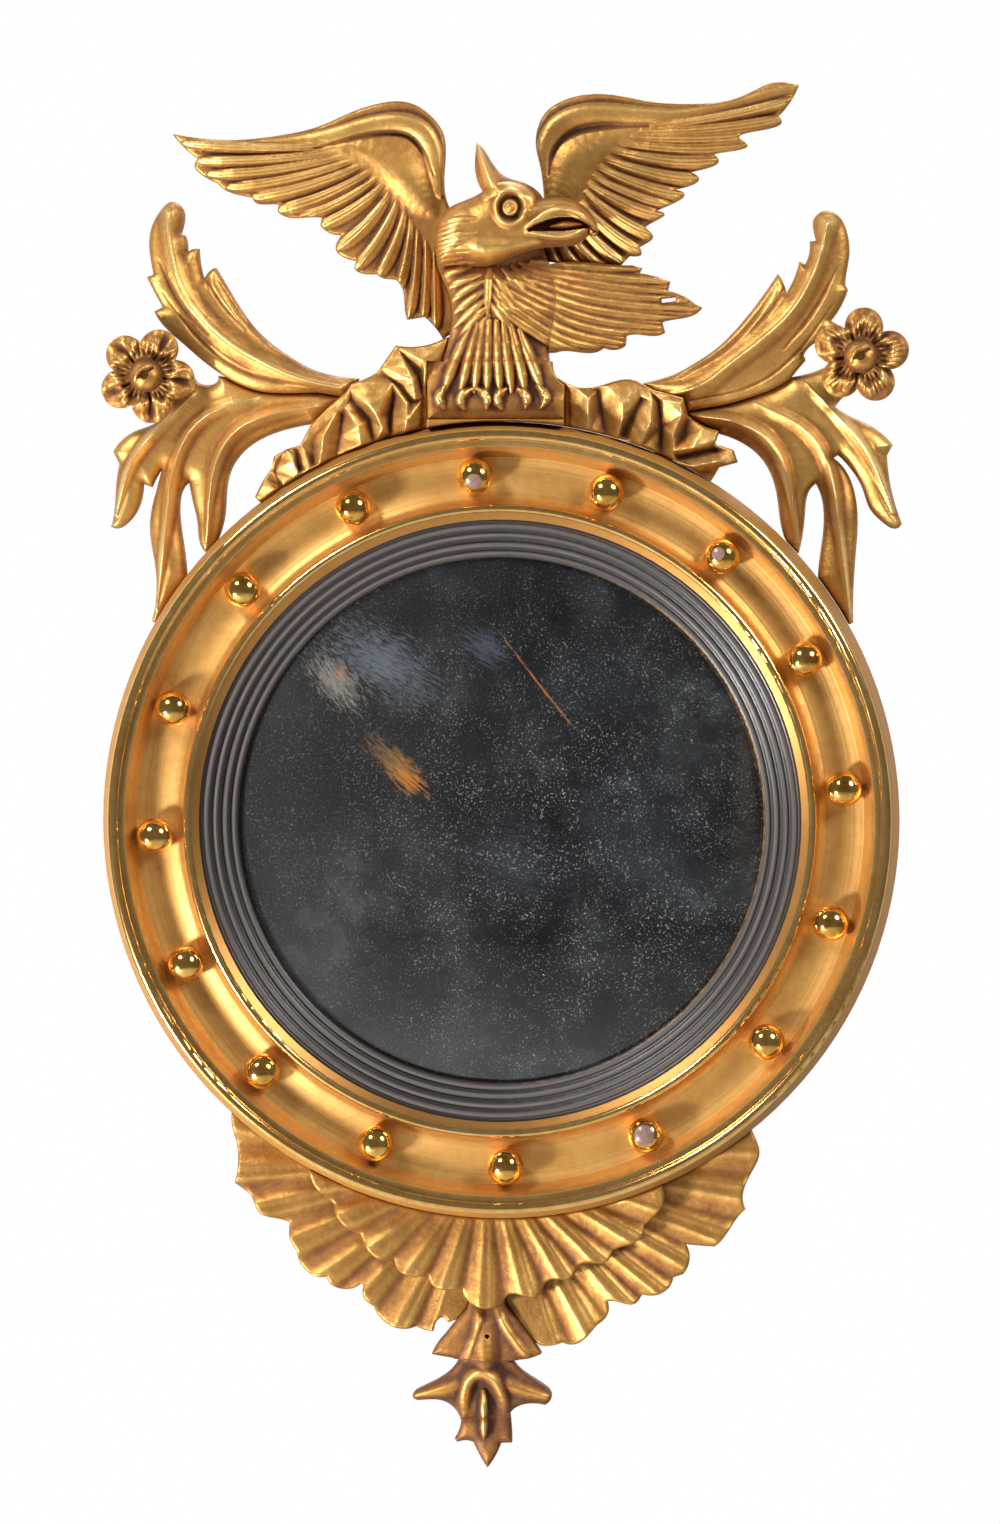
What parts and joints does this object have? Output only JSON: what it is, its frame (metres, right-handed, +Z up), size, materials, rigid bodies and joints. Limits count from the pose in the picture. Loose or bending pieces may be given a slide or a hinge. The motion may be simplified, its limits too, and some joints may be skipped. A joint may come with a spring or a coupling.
{
  "type": "girandole mirror",
  "caption": "Round wall mirror with a convex glass in a ball-set gilt frame, under a carved spread-winged eagle crest with leaf brackets, over a shell apron with a drop.",
  "frame": {"origin": "the point of the wall plane straight behind the top of the raised hanging ring's eye, where the wall hook carries the mirror", "axes": "+Z up along the wall, -Y out of the wall towards the room (the glass faces -Y), +X to the right as the viewer sees it"},
  "size_m": [0.5651, 0.071, 0.9735],
  "materials": {
    "turned_gilding": "water gilding on turned wood, burnished on the beads and matt in the hollow",
    "burnished_gilding": "burnished water gilding on turned wood",
    "carved_gilding": "worn gilding over red clay on carved wood, dark in its recesses",
    "ebonised_wood": "satin black stain, rubbed on the reeds",
    "silvered_glass": "convex glass with old, dark and speckled silvering",
    "bare_pine": "bare aged softwood",
    "brass": "dull lacquered brass",
    "steel": "dull steel"
  },
  "bodies": {
    "mirror": {"backboard": "bare_pine", "ball_01": "burnished_gilding", "ball_02": "burnished_gilding", "ball_03": "burnished_gilding", "ball_04": "burnished_gilding", "ball_05": "burnished_gilding", "ball_06": "burnished_gilding", "ball_07": "burnished_gilding", "ball_08": "burnished_gilding", "ball_09": "burnished_gilding", "ball_10": "burnished_gilding", "ball_11": "burnished_gilding", "ball_12": "burnished_gilding", "ball_13": "burnished_gilding", "ball_14": "burnished_gilding", "ball_15": "burnished_gilding", "ball_16": "burnished_gilding", "bracket_left": "carved_gilding", "bracket_right": "carved_gilding", "button_screws": "brass", "convex_glass": "silvered_glass", "eagle_body": "carved_gilding", "eagle_head": "carved_gilding", "eagle_legs": "carved_gilding", "eagle_tail": "carved_gilding", "eagle_wing_left": "carved_gilding", "eagle_wing_right": "carved_gilding", "flower_button_left": "carved_gilding", "flower_button_right": "carved_gilding", "flower_left": "carved_gilding", "flower_pin_left": "carved_gilding", "flower_pin_right": "carved_gilding", "flower_right": "carved_gilding", "frame_ring": "turned_gilding", "glass_blocks": "bare_pine", "hanger_plate": "brass", "hanger_screws": "brass", "leaf_left": "carved_gilding", "leaf_right": "carved_gilding", "mounting_straps": "steel", "pendant_collar": "carved_gilding", "pendant_drop": "carved_gilding", "pendant_husk": "carved_gilding", "plinth_strip": "carved_gilding", "reeded_slip": "ebonised_wood", "rockwork_left": "carved_gilding", "rockwork_right": "carved_gilding", "shell_front": "carved_gilding", "shell_rear_left": "carved_gilding", "shell_rear_right": "carved_gilding", "strap_screws": "steel"},
    "hanging_ring": {"hanging_ring": "brass"},
    "turn_button_1": {"turn_button_1": "brass"},
    "turn_button_2": {"turn_button_2": "brass"},
    "turn_button_3": {"turn_button_3": "brass"},
    "turn_button_4": {"turn_button_4": "brass"},
    "turn_button_5": {"turn_button_5": "brass"},
    "turn_button_6": {"turn_button_6": "brass"}
  },
  "joints": [
    {"name": "hanging_ring_swing", "type": "hinge", "parent": "mirror", "child": "hanging_ring", "pos_m": [0, -0.0041, -0.0154], "axis": [1, 0, 0], "range_deg": [0, 180]},
    {"name": "turn_button_1_turn", "type": "hinge", "parent": "mirror", "child": "turn_button_1", "pos_m": [0.118, -0.0068, -0.03952], "axis": [0, 1, 0], "range_deg": [-90, 90]},
    {"name": "turn_button_2_turn", "type": "hinge", "parent": "mirror", "child": "turn_button_2", "pos_m": [0.236, -0.0068, -0.2439], "axis": [0, 1, 0], "range_deg": [-90, 90]},
    {"name": "turn_button_3_turn", "type": "hinge", "parent": "mirror", "child": "turn_button_3", "pos_m": [0.118, -0.0068, -0.44828], "axis": [0, 1, 0], "range_deg": [-90, 90]},
    {"name": "turn_button_4_turn", "type": "hinge", "parent": "mirror", "child": "turn_button_4", "pos_m": [-0.118, -0.0068, -0.44828], "axis": [0, 1, 0], "range_deg": [-90, 90]},
    {"name": "turn_button_5_turn", "type": "hinge", "parent": "mirror", "child": "turn_button_5", "pos_m": [-0.236, -0.0068, -0.2439], "axis": [0, 1, 0], "range_deg": [-90, 90]},
    {"name": "turn_button_6_turn", "type": "hinge", "parent": "mirror", "child": "turn_button_6", "pos_m": [-0.118, -0.0068, -0.03952], "axis": [0, 1, 0], "range_deg": [-90, 90]}
  ]
}
